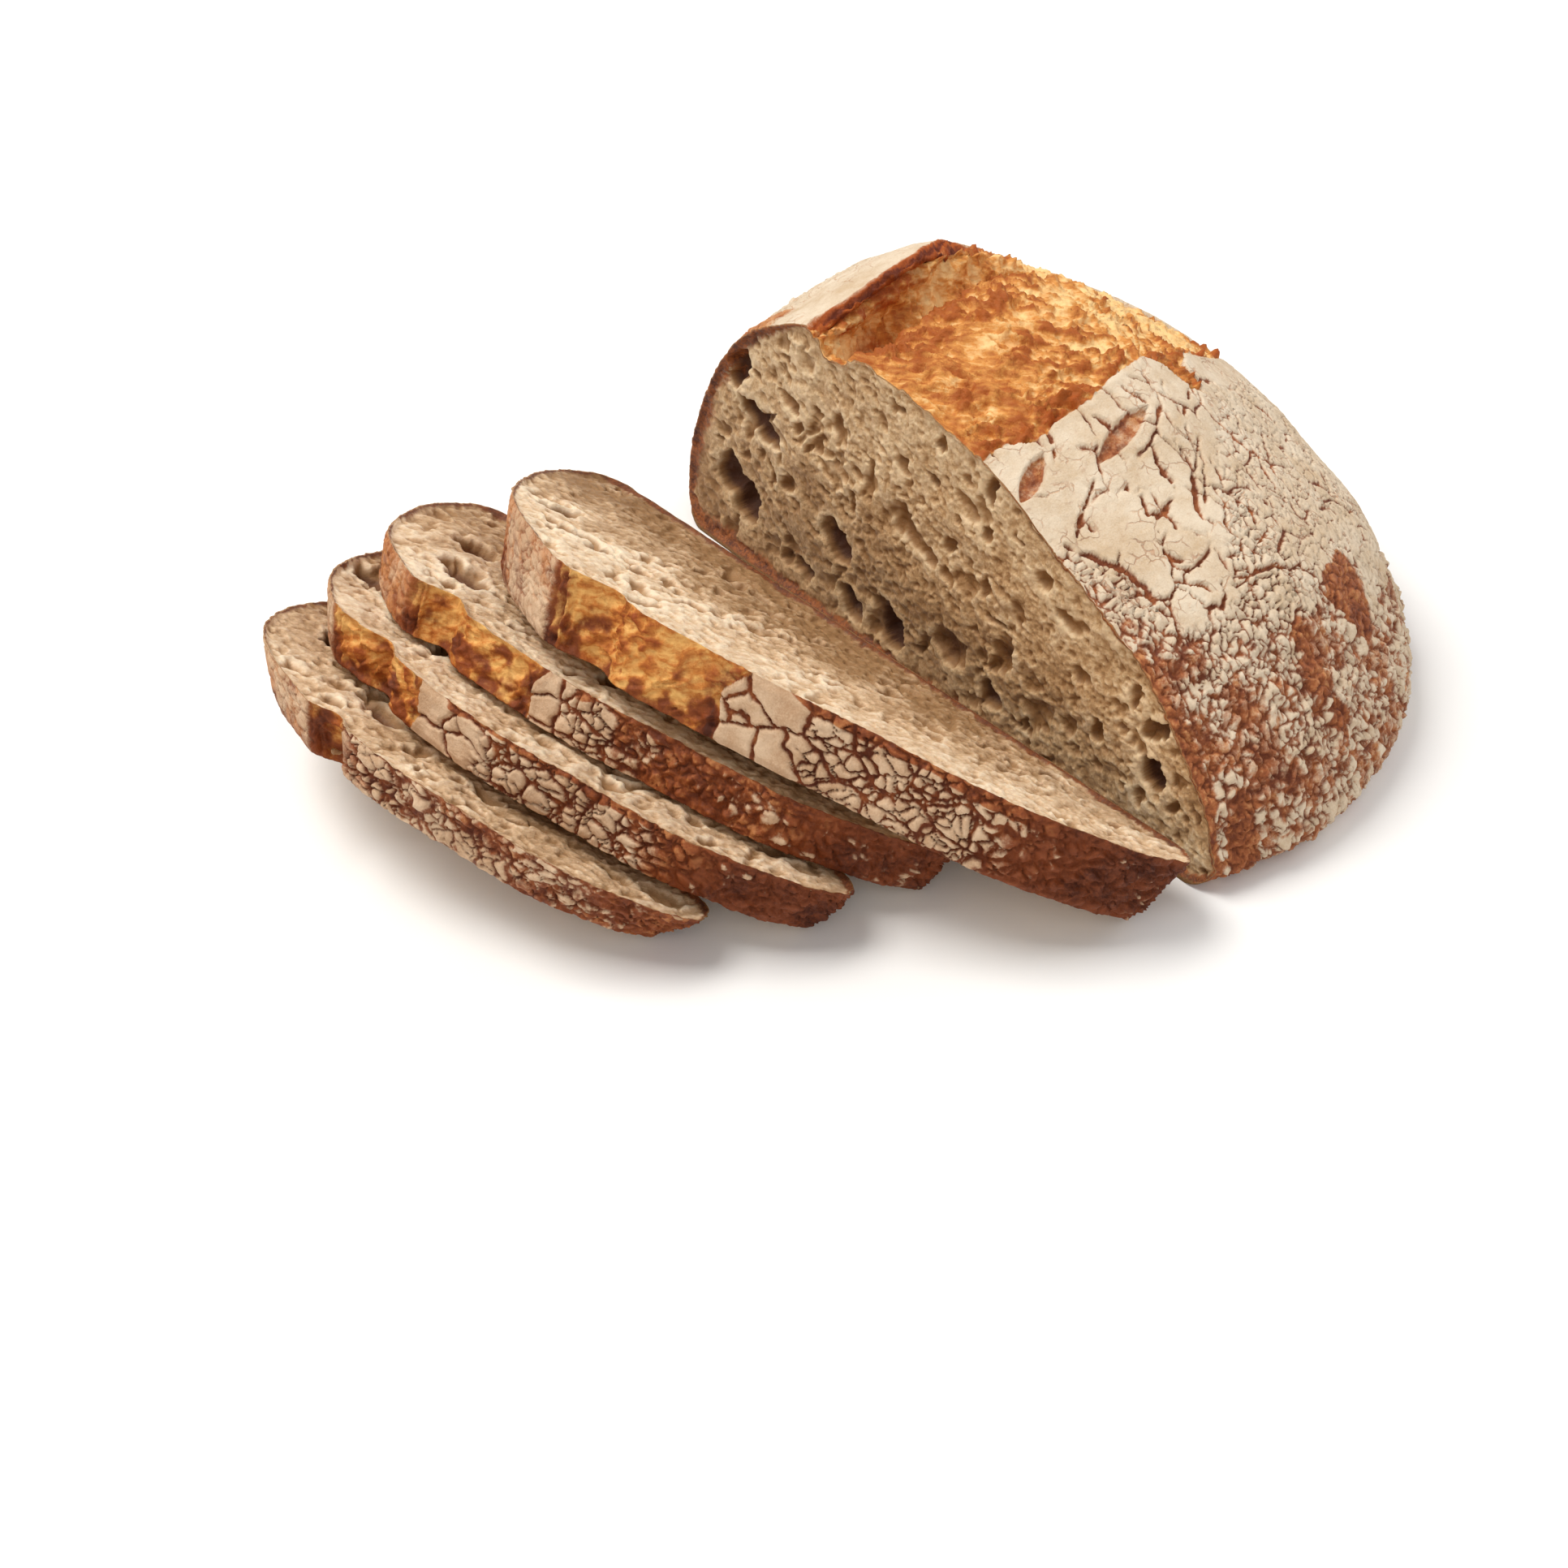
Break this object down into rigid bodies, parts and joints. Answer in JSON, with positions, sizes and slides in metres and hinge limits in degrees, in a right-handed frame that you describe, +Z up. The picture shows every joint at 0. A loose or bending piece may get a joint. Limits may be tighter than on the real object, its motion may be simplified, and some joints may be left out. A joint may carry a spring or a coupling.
{
  "type": "sliced sourdough loaf",
  "caption": "Rustic sourdough loaf cut through the middle: a standing half with a burst, floured crust, and thick slices fallen over beside it.",
  "frame": {"origin": "centre of the bottom of the bounding box, on the surface that the bread lies on", "axes": "+X along the loaf towards the heel of the standing half, +Y across the loaf towards the side with the raised ear, +Z up"},
  "size_m": [0.284, 0.2174, 0.0931],
  "materials": {
    "loaf_bread": "matt baked crust with flour, open crumb on the cut face",
    "slice_bread": "matt open crumb with a thin baked crust"
  },
  "bodies": {
    "root": {"loaf": "loaf_bread", "slice_1": "slice_bread", "slice_2": "slice_bread", "slice_3": "slice_bread", "slice_4": "slice_bread"}
  },
  "joints": []
}
